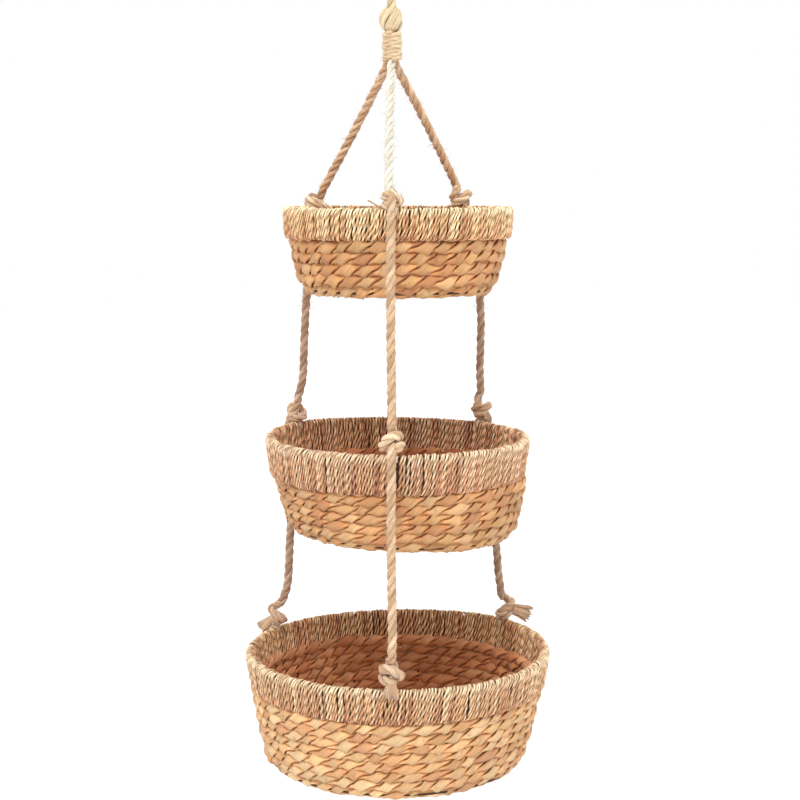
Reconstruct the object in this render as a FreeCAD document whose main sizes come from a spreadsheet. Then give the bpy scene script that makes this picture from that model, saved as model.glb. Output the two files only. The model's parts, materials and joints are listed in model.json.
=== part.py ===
"""A three-tier hanging produce basket: twined baskets on hidden wire frames, slung on laid ropes.

Frame: +Z up, -Y the front, +X to the right, in millimetres. The origin is the inside top of the
hanging loop, where a hook bears. Azimuths are degrees from the front, positive towards +X.
"""
import FreeCAD, Part
import math
import os
import Sketcher
from FreeCAD import Placement, Rotation, Vector

STAKE_COUNT = 12
TIERS = ("top", "middle", "bottom")
ROPES = ("front", "left", "right")

# Sizes shared by all three baskets and their ropes.
COMMON_SIZES = {
    "rope_diameter": 10,
    "knot_diameter": 23,
    "knot_inset": 5,  # the knots' centres, inside the rim's outer edge
    "lip_outset": 7.5,  # where a rope bends over the rim, outside the rim's outer edge
    "lip_drop": 4,  # the same bend, below the crest of the rim
    "foot_rise": 16,  # where a rope bends into a knot, above the knot's centre
    "bend_diameter": 11,
    "bend_gap": 0.3,
    "open_gap": 1.2,  # at the lower ends of the side ropes, which no joint holds
    "hitch_radius": 10,
    "hitch_rope": 8,
    "hitch_shift": 10.5,  # along the rim, from the knot to its hitch
    "ring_wire": 3,
    "stake_wire": 2,
    "hub_radius": 12,  # the free circle at the middle of the floor, where the spokes start
    "cord_diameter": 3.2,
    "band_thickness": 11,
    "band_edge": 3.2,
    "band_taper": 5,
    "wall_thickness": 9,
    "wall_inset": 1,  # the wall's outer face behind the band's, where they meet
    "foot_chamfer": 4.5,
    "floor_thickness": 9,
    "tail_length": 24,
    "tail_root": 4.5,
    "tail_end": 8,
    "loop_width": 30,
    "leg_spacing": 10.6,
    "crown_depth": 89,
    "crown_diameter": 25,
    "crown_gap": 0.4,
    "bundle_diameter": 16,
    "whipping_diameter": 21,
    "whipping_top": 100,
    "whipping_end": 135,
    "basket_offset": 7,  # the baskets' axis, to the right of the loop
}

# Sizes of each basket. Depths are below the origin, and azimuths are of the knots and the stakes.
TIER_SIZES = {
    "top": {
        "rim_radius": 129,
        "base_radius": 106.5,
        "crest_depth": 293.5,
        "height": 96,
        "band_height": 35,
        "knot_rise": 10.5,
        "front_azimuth": -2.8,
        "left_azimuth": -130.2,
        "right_azimuth": 143.9,
        "stake_azimuth": 15,
    },
    "middle": {
        "rim_radius": 150,
        "base_radius": 127.5,
        "crest_depth": 551,
        "height": 110,
        "band_height": 46,
        "knot_rise": 14,
        "front_azimuth": -2.4,
        "left_azimuth": -124.6,
        "right_azimuth": 136.6,
        "stake_azimuth": 15,
    },
    "bottom": {
        "rim_radius": 175,
        "base_radius": 148,
        "crest_depth": 798,
        "height": 130,
        "band_height": 41,
        "knot_rise": 16.5,
        "front_azimuth": -2.1,
        "left_azimuth": -119.1,
        "right_azimuth": 130.9,
        "stake_azimuth": 20,
    },
}

# Which way the frayed tails of the last knots point: along X, Y and Z.
TAIL_DIRECTIONS = {
    "front": (-0.15, -0.75, -0.8),
    "left": (-0.6, 0.55, -0.55),
    "right": (1.0, -0.1, -0.05),
}

doc = FreeCAD.newDocument("HangingProduceBasket")
sizes = doc.addObject("Spreadsheet::Sheet", "Sizes")
subparts = []


def fill_sheet():
    """Writes every driving size into the sheet, one alias to a row."""
    rows = dict(COMMON_SIZES)
    for tier, own in TIER_SIZES.items():
        rows.update({f"{tier}_{name}": number for name, number in own.items()})
    for row, (name, number) in enumerate(rows.items(), start=1):
        sizes.set(f"A{row}", name)
        sizes.set(f"B{row}", str(number))
        sizes.setAlias(f"B{row}", name)
    doc.recompute()


def size(name):
    """The number that the sheet holds under an alias."""
    return float(sizes.get(name))


def keep(item, node):
    """Marks an object of the document as a finished sub-part."""
    item.Label = node
    subparts.append(item)
    return item


def bind(item, **expressions):
    """Binds an object's properties to expressions on the sheet; 'Base_z' stands for Placement.Base.z."""
    for name, expression in expressions.items():
        item.setExpression(name.replace("Base_", "Placement.Base."), expression)
    return item


# ---------------------------------------------------------------- simple shapes


def ball(name, centre, radius):
    """A sphere whose radius is an expression on the sheet."""
    item = bind(doc.addObject("Part::Sphere", name), Radius=radius)
    item.Placement = Placement(centre, Rotation())
    return item


def rod(name, start, end, radius):
    """A round bar from start to end, whose radius is an expression on the sheet."""
    item = bind(doc.addObject("Part::Cylinder", name), Radius=radius)
    item.Height = (end - start).Length
    item.Placement = Placement(start, Rotation(Vector(0, 0, 1), end - start))
    return item


def fuse(name, items):
    """The items joined into one solid."""
    item = doc.addObject("Part::MultiFuse", name)
    item.Shapes = items
    return item


def cut(name, base, tools):
    """The base with the tools taken out of it, one after another."""
    for number, tool in enumerate(tools):
        step = doc.addObject("Part::Cut", f"{name}_{number}")
        step.Base = base
        step.Tool = tool
        base = step
    return base


def revolved(name, outlines, base_z):
    """A PartDesign body turned about its own Z axis from closed outlines of (radius, height) expressions."""
    body = doc.addObject("PartDesign::Body", f"{name}_body")
    bind(body, Base_x="Sizes.basket_offset", Base_z=base_z)
    sketch = body.newObject("Sketcher::SketchObject", f"{name}_profile")
    plane = next(p for p in body.Origin.OriginFeatures if p.Role == "XZ_Plane")
    sketch.AttachmentSupport = [(plane, "")]
    sketch.MapMode = "FlatFace"
    for outline in outlines:
        draw_outline(sketch, outline)
    turn = body.newObject("PartDesign::Revolution", f"{name}_turn")
    turn.Profile = sketch
    turn.ReferenceAxis = (sketch, ["V_Axis"])
    turn.Angle = 360
    body.Tip = turn
    return body


def draw_outline(sketch, corners):
    """Draws a closed polygon and holds each corner at its two expressions; '0' puts it on an axis."""
    first = sketch.GeometryCount
    points = [Vector(*(float(sizes.evalExpression(e)) for e in corner), 0) for corner in corners]
    for here, there in zip(points, points[1:] + points[:1]):
        sketch.addGeometry(Part.LineSegment(here, there))
    for number, (radius, height) in enumerate(corners):
        line = first + number
        following = first + (number + 1) % len(corners)
        sketch.addConstraint(Sketcher.Constraint("Coincident", line, 2, following, 1))
        hold_corner(sketch, line, "DistanceX", radius, axis=-2)
        hold_corner(sketch, line, "DistanceY", height, axis=-1)


def hold_corner(sketch, line, kind, expression, axis):
    """Holds a line's start on an axis, or at a distance from the origin that an expression gives."""
    if expression == "0":
        sketch.addConstraint(Sketcher.Constraint("PointOnObject", line, 1, axis))
        return
    number = float(sizes.evalExpression(expression))
    index = sketch.addConstraint(Sketcher.Constraint(kind, -1, 1, line, 1, number))
    sketch.setExpression(f"Constraints[{index}]", expression)


# ---------------------------------------------------------------- places


def around(tier, azimuth, radius, height):
    """A point at a radius and height over the underside of a tier's basket."""
    turn = math.radians(azimuth)
    base_z = -size(f"{tier}_crest_depth") - size(f"{tier}_height")
    return Vector(size("basket_offset") + radius * math.sin(turn), -radius * math.cos(turn), base_z + height)


def at_rim(tier, rope, outset, rise):
    """A point of a rope, outside the rim's outer edge and above its crest."""
    azimuth = size(f"{tier}_{rope}_azimuth")
    return around(tier, azimuth, size(f"{tier}_rim_radius") + outset, size(f"{tier}_height") + rise)


def knot_centre(tier, rope):
    return at_rim(tier, rope, -size("knot_inset"), size(f"{tier}_knot_rise"))


def lip_point(tier, rope):
    """Where a rope bends over the rim and hangs free towards the tier below."""
    return at_rim(tier, rope, size("lip_outset"), -size("lip_drop"))


def foot_point(tier, rope):
    """Where a rope bends into the knot of the tier that it carries."""
    return knot_centre(tier, rope) + Vector(0, 0, size("foot_rise"))


# ---------------------------------------------------------------- one basket


def ring(tier, name, radius, height):
    """A closed wire ring of the basket's frame, at expressions for its radius and height."""
    item = doc.addObject("Part::Torus", f"{tier}_{name}_torus")
    floor_z = f"-Sizes.{tier}_crest_depth - Sizes.{tier}_height"
    bind(item, Radius1=radius, Radius2="Sizes.ring_wire / 2")
    bind(item, Base_x="Sizes.basket_offset", Base_z=f"{floor_z} + {height}")
    return keep(item, f"{tier}_{name}")


def stakes(tier, rings):
    """Wires that start at the middle of the floor, turn up the wall and end at the rim ring."""
    wire = size("stake_wire") / 2
    low = size("wall_thickness") / 2
    base = size(f"{tier}_base_radius") - low
    rim = size(f"{tier}_rim_radius") - size("band_thickness") / 2
    ring_inset = size("cord_diameter") + size("ring_wire") / 2
    height = size(f"{tier}_height")
    route = (
        (size("hub_radius"), low),
        (base, low),
        (rim - size("band_taper"), height - size(f"{tier}_band_height") + ring_inset),
        (rim, height - ring_inset),
    )
    wires = []
    for number in range(STAKE_COUNT):
        azimuth = size(f"{tier}_stake_azimuth") + 360 * number / STAKE_COUNT
        points = [around(tier, azimuth, *place) for place in route]
        for start, end in zip(points, points[1:]):
            wires.append(Part.makeCylinder(wire, (end - start).Length, start, end - start))
    item = doc.addObject("Part::Feature", f"{tier}_stake_wires")
    item.Shape = Part.makeCompound(wires).cut([r.Shape for r in rings])
    return keep(item, f"{tier}_stakes")


def rim_wrap(tier, tools):
    """The band of cord wound over the rim ring and the band ring, hollow between them."""
    outer = f"Sizes.{tier}_rim_radius"
    crest = f"Sizes.{tier}_height"
    foot = f"{crest} - Sizes.{tier}_band_height"
    lower = f"{outer} - Sizes.band_taper"
    thick = "Sizes.band_thickness"
    edge = "Sizes.band_edge"
    cord = "Sizes.cord_diameter"
    skin = [
        (f"{outer} - {edge}", crest),
        (outer, f"{crest} - {edge}"),
        (lower, f"{foot} + {edge}"),
        (f"{lower} - {edge}", foot),
        (f"{lower} - {thick} + {edge}", foot),
        (f"{lower} - {thick}", f"{foot} + {edge}"),
        (f"{outer} - {thick}", f"{crest} - {edge}"),
        (f"{outer} - {thick} + {edge}", crest),
    ]
    hollow = [
        (f"{outer} - {cord}", f"{crest} - {cord}"),
        (f"{lower} - {cord}", f"{foot} + {cord}"),
        (f"{lower} - {thick} + {cord}", f"{foot} + {cord}"),
        (f"{outer} - {thick} + {cord}", f"{crest} - {cord}"),
    ]
    body = revolved(f"{tier}_rim_wrap", [skin, hollow], f"-Sizes.{tier}_crest_depth - Sizes.{tier}_height")
    return keep(cut(f"{tier}_wrap", body, tools), f"{tier}_rim_wrap")


def wall_top(tier):
    """Expressions for the outer radius and the height of the wall, where it meets the band."""
    radius = f"Sizes.{tier}_rim_radius - Sizes.band_taper - Sizes.wall_inset"
    return radius, f"Sizes.{tier}_height - Sizes.{tier}_band_height"


def woven_wall(tier, tools):
    """The twined wall, a tapered shell with the stakes and the base ring inside it."""
    base = f"Sizes.{tier}_base_radius"
    top_radius, top_height = wall_top(tier)
    outline = [
        (f"{base} - Sizes.wall_thickness", "0"),
        (f"{base} - Sizes.foot_chamfer", "0"),
        (base, "Sizes.foot_chamfer"),
        (top_radius, top_height),
        (f"{top_radius} - Sizes.wall_thickness", top_height),
    ]
    body = revolved(f"{tier}_woven_wall", [outline], f"-Sizes.{tier}_crest_depth - Sizes.{tier}_height")
    return keep(cut(f"{tier}_wall", body, tools), f"{tier}_woven_wall")


def woven_floor(tier, tools):
    """The twined floor, a disc that fits inside the foot of the wall."""
    edge = f"Sizes.{tier}_base_radius - Sizes.wall_thickness"
    top_radius, top_height = wall_top(tier)
    slope = f"({top_radius} - Sizes.{tier}_base_radius) / ({top_height})"
    thick = "Sizes.floor_thickness"
    outline = [("0", "0"), (edge, "0"), (f"{edge} + {slope} * {thick}", thick), ("0", thick)]
    body = revolved(f"{tier}_woven_floor", [outline], f"-Sizes.{tier}_crest_depth - Sizes.{tier}_height")
    return keep(cut(f"{tier}_floor", body, tools), f"{tier}_woven_floor")


def hitch(tier, rope):
    """A turn of rope round the rim, beside the knot that it holds down."""
    rim = size(f"{tier}_rim_radius") - size("band_thickness") / 2
    azimuth = size(f"{tier}_{rope}_azimuth") + math.degrees(size("hitch_shift") / rim)
    height = size(f"{tier}_height") - size("band_thickness") / 2
    item = doc.addObject("Part::Torus", f"{tier}_{rope}_hitch")
    bind(item, Radius1="Sizes.hitch_radius", Radius2="Sizes.hitch_rope / 2")
    along = Vector(math.cos(math.radians(azimuth)), math.sin(math.radians(azimuth)), 0)
    item.Placement = Placement(around(tier, azimuth, rim, height), Rotation(Vector(0, 0, 1), along))
    return item


def knot(tier, rope):
    """A knot at the rim, with the ends of rope that stand out of it up to their bends."""
    name = f"{tier}_{rope}_knot"
    centre = knot_centre(tier, rope)
    pieces = [ball(f"{name}_ball", centre, "Sizes.knot_diameter / 2")]
    hollows = []
    if tier != "bottom":
        lip = lip_point(tier, rope)
        pieces.append(rod(f"{name}_neck", centre, lip, "Sizes.rope_diameter / 2"))
        hollows.append(ball(f"{name}_lip_cup", lip, "Sizes.bend_diameter / 2 + Sizes.bend_gap"))
    if tier != "top":
        foot = foot_point(tier, rope)
        pieces.append(rod(f"{name}_foot", centre, foot, "Sizes.rope_diameter / 2"))
        if rope == "front":
            hollows.append(ball(f"{name}_foot_cup", foot, "Sizes.bend_diameter / 2 + Sizes.bend_gap"))
        else:
            pieces.append(ball(f"{name}_foot_end", foot, "Sizes.rope_diameter / 2"))
    return keep(cut(f"{name}_cut", fuse(f"{name}_rope", pieces), hollows), f"{tier}_knot_{rope}")


def tail(rope):
    """The frayed end of a rope, standing out of the last knot."""
    centre = knot_centre("bottom", rope)
    item = doc.addObject("Part::Cone", f"bottom_{rope}_tail_cone")
    bind(item, Radius1="Sizes.tail_root", Radius2="Sizes.tail_end")
    bind(item, Height="Sizes.knot_diameter / 2 + Sizes.tail_length")
    item.Placement = Placement(centre, Rotation(Vector(0, 0, 1), Vector(*TAIL_DIRECTIONS[rope])))
    knot_ball = doc.getObject(f"bottom_{rope}_knot_ball")
    turns = doc.getObject("bottom_hitch_turns")
    return keep(cut(f"bottom_{rope}_tail", item, [knot_ball, turns]), f"tail_{rope}")


def basket(tier):
    """Every piece of one basket, with its knots and its hitches."""
    rim = f"Sizes.{tier}_rim_radius - Sizes.band_thickness / 2"
    inset = "Sizes.cord_diameter - Sizes.ring_wire / 2"
    band_foot = f"Sizes.{tier}_height - Sizes.{tier}_band_height"
    ring_lift = "Sizes.cord_diameter + Sizes.ring_wire / 2"
    low = "Sizes.wall_thickness / 2"
    rings = [
        ring(tier, "rim_ring", rim, f"Sizes.{tier}_height - {inset}"),
        ring(tier, "band_ring", f"{rim} - Sizes.band_taper", f"{band_foot} + {ring_lift}"),
        ring(tier, "base_ring", f"Sizes.{tier}_base_radius - {low}", low),
    ]
    doc.recompute()
    frame = stakes(tier, rings)
    for rope in ROPES:
        knot(tier, rope)
    knot_balls = fuse(f"{tier}_knot_balls", [doc.getObject(f"{tier}_{rope}_knot_ball") for rope in ROPES])
    turns = fuse(f"{tier}_hitch_turns", [hitch(tier, rope) for rope in ROPES])
    keep(cut(f"{tier}_hitch_cut", turns, [knot_balls]), f"{tier}_hitches")
    rim_wrap(tier, [frame, turns, knot_balls])
    woven_wall(tier, [frame, rings[2]])
    woven_floor(tier, [frame, rings[2]])


# ---------------------------------------------------------------- ropes and the crown


def span(tier, upper, rope):
    """A rope that hangs free from the rim above to the knot that it carries, with a cup at each end."""
    name = f"{tier}_{rope}_rope"
    top = lip_point(upper, rope)
    foot = foot_point(tier, rope)
    held = rope == "front"
    bend_cup = "Sizes.bend_diameter / 2 + Sizes.bend_gap"
    open_cup = "Sizes.rope_diameter / 2 + Sizes.open_gap"
    cups = [ball(f"{name}_top_cup", top, bend_cup)]
    cups.append(ball(f"{name}_foot_cup", foot, bend_cup if held else open_cup))
    bar = rod(f"{name}_bar", top, foot, "Sizes.rope_diameter / 2")
    keep(cut(f"{name}_cut", bar, cups), f"{tier}_rope_{rope}")
    keep(ball(f"{name}_lip", top, "Sizes.bend_diameter / 2"), f"{tier}_lip_bend_{rope}")
    if held:
        keep(ball(f"{name}_foot", foot, "Sizes.bend_diameter / 2"), f"{tier}_foot_bend_{rope}")


def hanging_loop(crown_tool):
    """The loop that goes over a hook: two legs that rise side by side and join in a round top."""
    radius = size("loop_width") / 2 + size("rope_diameter") / 2
    centre_z = size("rope_diameter") / 2 - radius
    start = Vector(0, size("leg_spacing") / 2, -size("crown_depth"))
    reach = math.hypot(start.y, start.z - centre_z)
    turn = math.atan2(start.z - centre_z, start.y) + math.acos(radius / reach)
    end = Vector(0, radius * math.cos(turn), centre_z + radius * math.sin(turn))
    mirror = [Vector(0, -p.y, p.z) for p in (start, end)]
    path = Part.Wire(
        [
            Part.LineSegment(start, end).toShape(),
            Part.Arc(end, Vector(0, 0, centre_z + radius), mirror[1]).toShape(),
            Part.LineSegment(mirror[1], mirror[0]).toShape(),
        ]
    )
    section = Part.Wire(Part.makeCircle(size("rope_diameter") / 2, start, end - start))
    item = doc.addObject("Part::Feature", "hanging_loop_rope")
    item.Shape = path.makePipeShell([section], True, True)
    return keep(cut("hanging_loop_cut", item, [crown_tool]), "hanging_loop")


def crown():
    """The loop, the crown knot under it and the whipping that binds the rope bundle together."""
    centre = Vector(0, 0, -size("crown_depth"))
    cup = ball("crown_cup", centre, "Sizes.crown_diameter / 2 + Sizes.crown_gap")
    hanging_loop(cup)
    keep(ball("crown_ball", centre, "Sizes.crown_diameter / 2"), "crown_knot")
    top = Vector(0, 0, -size("whipping_top"))
    end = Vector(0, 0, -size("whipping_end"))
    core = rod("bundle_bar", centre, end, "Sizes.bundle_diameter / 2")
    keep(cut("bundle_cut", core, [cup]), "rope_bundle")
    sleeve = rod("whipping_bar", top, end, "Sizes.whipping_diameter / 2")
    keep(cut("whipping_cut", sleeve, [core, cup]), "whipping")


def upper_ropes():
    """The three ropes that spread from the whipping to the knots of the top basket."""
    start = Vector(0, 0, -size("whipping_end"))
    before = []
    for rope in ROPES:
        bar = rod(f"upper_{rope}_bar", start, knot_centre("top", rope), "Sizes.rope_diameter / 2")
        tools = before + [doc.getObject(f"top_{rope}_knot_ball"), doc.getObject("whipping_bar")]
        keep(cut(f"upper_{rope}_cut", bar, tools), f"upper_rope_{rope}")
        before.append(bar)


# ---------------------------------------------------------------- the document


def check_document():
    """Stops if any object failed, or if a sub-part's shape is empty or not valid."""
    failed = [item.Name for item in doc.Objects if {"Invalid", "Error"} & set(item.State)]
    failed += [item.Label for item in subparts if item.Shape.isNull() or not item.Shape.isValid()]
    if failed:
        raise RuntimeError(f"these objects failed: {failed}")


def export_subparts():
    os.makedirs("parts", exist_ok=True)
    for item in subparts:
        item.Shape.exportStep(f"parts/{item.Label}.step")
        box = item.Shape.BoundBox
        solids = len(item.Shape.Solids)
        volume = item.Shape.Volume / 1000
        print(f"{item.Label:26s} {volume:8.2f} cm3 {solids:2d} z {box.ZMin:7.1f} {box.ZMax:7.1f}")


fill_sheet()
crown()
for tier_name in TIERS:
    basket(tier_name)
upper_ropes()
for tier_name, upper_name in zip(TIERS[1:], TIERS):
    for rope_name in ROPES:
        span(tier_name, upper_name, rope_name)
for rope_name in ROPES:
    tail(rope_name)
doc.recompute()
check_document()
export_subparts()
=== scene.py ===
"""The looks of a hanging produce basket: laid ropes, knots, corded rims and twisted hyacinth weave."""

import json
import math

import bpy
import numpy as np
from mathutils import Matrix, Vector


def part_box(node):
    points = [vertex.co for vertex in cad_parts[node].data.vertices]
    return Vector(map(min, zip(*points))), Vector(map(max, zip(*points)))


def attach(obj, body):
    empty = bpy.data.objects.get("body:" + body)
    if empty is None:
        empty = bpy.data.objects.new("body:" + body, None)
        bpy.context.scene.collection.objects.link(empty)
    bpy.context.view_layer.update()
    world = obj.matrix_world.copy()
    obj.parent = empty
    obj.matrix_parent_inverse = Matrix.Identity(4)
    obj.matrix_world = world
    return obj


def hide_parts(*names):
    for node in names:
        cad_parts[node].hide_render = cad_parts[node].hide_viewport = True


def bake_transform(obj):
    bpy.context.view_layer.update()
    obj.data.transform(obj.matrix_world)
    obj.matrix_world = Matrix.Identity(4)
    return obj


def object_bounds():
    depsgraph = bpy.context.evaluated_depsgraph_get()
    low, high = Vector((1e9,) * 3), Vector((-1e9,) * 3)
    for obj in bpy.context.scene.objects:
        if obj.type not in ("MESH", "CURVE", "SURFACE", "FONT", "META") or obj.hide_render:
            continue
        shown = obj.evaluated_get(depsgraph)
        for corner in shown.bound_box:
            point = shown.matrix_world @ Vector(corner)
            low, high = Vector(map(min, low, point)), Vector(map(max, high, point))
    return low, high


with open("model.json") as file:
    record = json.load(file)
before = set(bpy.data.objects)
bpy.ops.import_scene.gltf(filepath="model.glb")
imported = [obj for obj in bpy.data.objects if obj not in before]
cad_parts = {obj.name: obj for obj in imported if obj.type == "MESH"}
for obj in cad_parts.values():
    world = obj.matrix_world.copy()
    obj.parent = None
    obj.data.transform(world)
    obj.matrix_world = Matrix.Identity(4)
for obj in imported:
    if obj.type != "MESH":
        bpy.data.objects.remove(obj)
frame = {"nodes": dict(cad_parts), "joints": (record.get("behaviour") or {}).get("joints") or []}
CAD_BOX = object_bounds()
JOINTS = {joint["name"]: joint for joint in frame["joints"]}

MM = 0.001
TAU = 2 * math.pi
UP = np.array((0.0, 0.0, 1.0))

# ------------ sizes

TIERS = ("top", "middle", "bottom")
ROPES = ("front", "left", "right")
WALL_ROWS = {"top": 5, "middle": 6, "bottom": 8}
ROPE_RADIUS = 5.0 * MM
LAY = 34 * MM  # the length in which a strand goes once round its rope
HALF_TWIST = 21.5 * MM  # the length of one lobe of twisted hyacinth
PATH_STEP = 1.3 * MM  # between the samples along a rope
RING_INSET = 5.5 * MM  # from the band's outside to the middle of its rings
CORD_PITCH = 3.3 * MM  # between the turns of cord round the band
KNOT_INSET = 5 * MM  # from the rim's outside to a knot's centre
KNOT_RADIUS = 11.5 * MM
FOOT_RISE = 16 * MM  # from a knot's centre up to where its rope bends
LIP_OUTSET = 7.5 * MM  # from the rim's outside to where a rope bends over it
SIDE_TURN = -0.85  # how far a side knot turns back to the front, as a share of its azimuth
# How each weave has settled: its foot's place to the right, its top's depth under the band, its tilt
# down to the right in radians, and how far in its band's lower ring lies. Lengths are in millimetres.
SETTLED = {"top": (0.0, 0.6, 0.0, 7.5), "middle": (4.5, 1.4, 0.036, 10.5), "bottom": (-2.6, 1.8, 0.0, 10.5)}
BOW_PLACES = (0.06, 0.3, 0.6, 0.88, 1.0)
# How far each hanging rope lies to the right of a straight line there, in millimetres.
BOWS = {
    ("middle", "front"): (0, -0.7, -0.7, 0, 0),
    ("middle", "left"): (0, 3.5, 3.7, 5, 0.8),
    ("middle", "right"): (4, 9.5, 7.2, 1.0, 0),
    ("bottom", "front"): (0, -0.5, 0, 0.8, 0),
    ("bottom", "left"): (0, 9.5, 12, 14, 10),
    ("bottom", "right"): (0, -2.1, -2.8, -3.2, -2),
}
# The shape of each knot, which way it turns, its size, its tilt in degrees, and its shift in millimetres
# from its CAD place along X and Z.
KNOTS = {
    ("top", "front"): ("arch", 1, 1.0, 0, (0.5, -1.5)),
    ("top", "left"): ("flat", 1, 1.0, 0, (-1.0, -5.0)),
    ("top", "right"): ("fork", 1, 1.08, 0, (-0.5, -1.0)),
    ("middle", "front"): ("sweep", -1, 1.26, 22, (-0.8, -0.5)),
    ("middle", "left"): ("wrap", 1, 1.05, 0, (0.0, 2.0)),
    ("middle", "right"): ("fork", 1, 1.0, 0, (0.0, 1.5)),
    ("bottom", "front"): ("arch", 1, 1.24, -8, (0.0, 1.5)),
    ("bottom", "left"): ("fold", 1, 1.0, 0, (5.0, 2.5)),
    ("bottom", "right"): ("fold", -1, 1.06, 0, (1.5, 3.0)),
}
# Each frayed tail's way out of its knot, to the right, outward and up, and its width and depth at its
# end, all in millimetres.
TAILS = {
    "front": (((0, 4, -7), (0, 8, -11), (-0.5, 8.6, -17), (-1, 8.4, -26)), 10.0, 1.6),
    "left": (((-3, 2, -4), (-9, 4, -9), (-15, 6, -14), (-21, 8, -20)), 7.0, 6.0),
    "right": (((3, 1, -2), (11, 2, -4.5), (21, 3, -8), (32, 4, -13)), 11.0, 10.0),
}


def srgb(red, green, blue):
    """A colour given in 0 to 255 sRGB, as linear light."""
    values = np.array((red, green, blue), float) / 255
    return np.where(values <= 0.04045, values / 12.92, ((values + 0.055) / 1.055) ** 2.4)


def palette(*colours):
    return np.array([srgb(*colour) for colour in colours])


def full_turn(sides):
    """The angles of the points round a tube, as one row."""
    return np.linspace(0, TAU, sides, endpoint=False)[None, :]


def add_object(name, data):
    item = bpy.data.objects.new(name, data)
    bpy.context.scene.collection.objects.link(item)
    return item


# ------------ mesh engine


class Mesh:
    """Collects tubes of points and turns them into one Blender mesh."""

    def __init__(self):
        self.points, self.paints, self.fibres = [], [], []
        self.loops, self.sizes = [], []
        self.count = 0

    def tube(self, points, paint, fibre, closed=False, caps=True):
        """points[i, j] is point j of ring i. paint is its colour, and fibre its place in the strand's
        own straight frame."""
        rings, sides = points.shape[:2]
        index = np.arange(rings * sides).reshape(rings, sides) + self.count
        first, second = (index, np.roll(index, -1, 0)) if closed else (index[:-1], index[1:])
        quads = np.stack([first, np.roll(first, -1, 1), np.roll(second, -1, 1), second], -1).reshape(-1, 4)
        self.loops.append(quads.ravel())
        self.sizes.append(np.full(len(quads), 4))
        if caps and not closed:
            self.loops.append(index[0][::-1])
            self.loops.append(index[-1])
            self.sizes.append(np.array((sides, sides)))
        self.points.append(points.reshape(-1, 3))
        self.paints.append(np.broadcast_to(paint, (rings, sides, 3)).reshape(-1, 3))
        self.fibres.append(np.broadcast_to(fibre, (rings, sides, 3)).reshape(-1, 3))
        self.count += rings * sides

    def build(self, name, material, body, replaces=()):
        """One object that rides on a body, or that is left unattached when body is None."""
        points = np.concatenate(self.points)
        loops = np.concatenate(self.loops)
        sizes = np.concatenate(self.sizes)
        data = bpy.data.meshes.new(name)
        data.vertices.add(len(points))
        data.vertices.foreach_set("co", points.astype(np.float32).ravel())
        data.loops.add(len(loops))
        data.loops.foreach_set("vertex_index", loops.astype(np.int32))
        data.polygons.add(len(sizes))
        starts = np.concatenate([[0], np.cumsum(sizes)[:-1]])
        data.polygons.foreach_set("loop_start", starts.astype(np.int32))
        data.polygons.foreach_set("use_smooth", np.ones(len(sizes), bool))
        paint = data.attributes.new("paint", "FLOAT_COLOR", "POINT")
        colours = np.concatenate([np.concatenate(self.paints), np.ones((len(points), 1))], 1)
        paint.data.foreach_set("color", colours.astype(np.float32).ravel())
        fibre = data.attributes.new("fibre", "FLOAT_VECTOR", "POINT")
        fibre.data.foreach_set("vector", np.concatenate(self.fibres).astype(np.float32).ravel())
        data.update(calc_edges=True)
        data.validate()
        data.materials.append(material)
        item = add_object(name, data)
        if body:
            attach(item, body)
        if replaces:
            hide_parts(*replaces)
        return item


def clamp(values):
    return np.clip(values, 0, 1)


def unit(vectors):
    return vectors / np.maximum(np.linalg.norm(vectors, axis=-1, keepdims=True), 1e-12)


def smooth_path(points, step):
    """A smooth line through the points, with samples a step apart."""
    points = np.array(points, float)
    padded = np.vstack([2 * points[0] - points[1], points, 2 * points[-1] - points[-2]])
    t = np.linspace(0, 1, 24, endpoint=False)[:, None]
    parts = []
    for i in range(len(points) - 1):
        a, b, c, d = padded[i : i + 4]
        square, cube = 2 * a - 5 * b + 4 * c - d, 3 * b - a - 3 * c + d
        parts.append(0.5 * (2 * b + (c - a) * t + square * t**2 + cube * t**3))
    line = np.vstack(parts + [points[-1:]])
    for _ in range(6):
        line[1:-1] = 0.25 * line[:-2] + 0.5 * line[1:-1] + 0.25 * line[2:]
    return resample(line, step)


def arc(points):
    """The length along a line at each of its points."""
    return np.concatenate([[0], np.cumsum(np.linalg.norm(np.diff(points, axis=0), axis=1))])


def sample(marks, reach, values):
    """The values along a line, at the marks."""
    return np.stack([np.interp(marks, reach, column) for column in values.T], 1)


def resample(line, step):
    reach = arc(line)
    count = max(3, int(math.ceil(reach[-1] / step)) + 1)
    return sample(np.linspace(0, reach[-1], count), reach, line)


class Line:
    """A centreline with its arc length and a frame that doesn't spin along it."""

    def __init__(self, points, hint=(1.0, 0.0, 0.0)):
        self.points = np.array(points, float)
        self.reach = arc(self.points)
        self.tangent = unit(np.gradient(self.points, axis=0))
        normal = np.array(hint, float)
        normals = []
        for tangent in self.tangent:
            normal = normal - tangent * (normal @ tangent)
            if np.linalg.norm(normal) < 1e-6:
                normal = np.cross(tangent, (0.3, 0.5, 0.8))
            normal = normal / np.linalg.norm(normal)
            normals.append(normal)
        self.normal = np.array(normals)
        self.side = np.cross(self.tangent, self.normal)

    def cut(self, start, end):
        """The samples from one arc length to another, both ends exact."""
        part = Line.__new__(Line)
        inner = (self.reach > start + 0.2 * MM) & (self.reach < end - 0.2 * MM)
        marks = np.concatenate([[start], self.reach[inner], [end]])
        for key in ("points", "tangent", "normal", "side"):
            setattr(part, key, sample(marks, self.reach, getattr(self, key)))
        part.reach = marks
        return part

    def nearest(self, point):
        return self.reach[np.argmin(np.linalg.norm(self.points - np.array(point), axis=1))]


# ------------ materials


def fill(item, sockets):
    """Sets a node's input sockets by name or number."""
    for key, value in sockets.items():
        item.inputs[key].default_value = value


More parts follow.
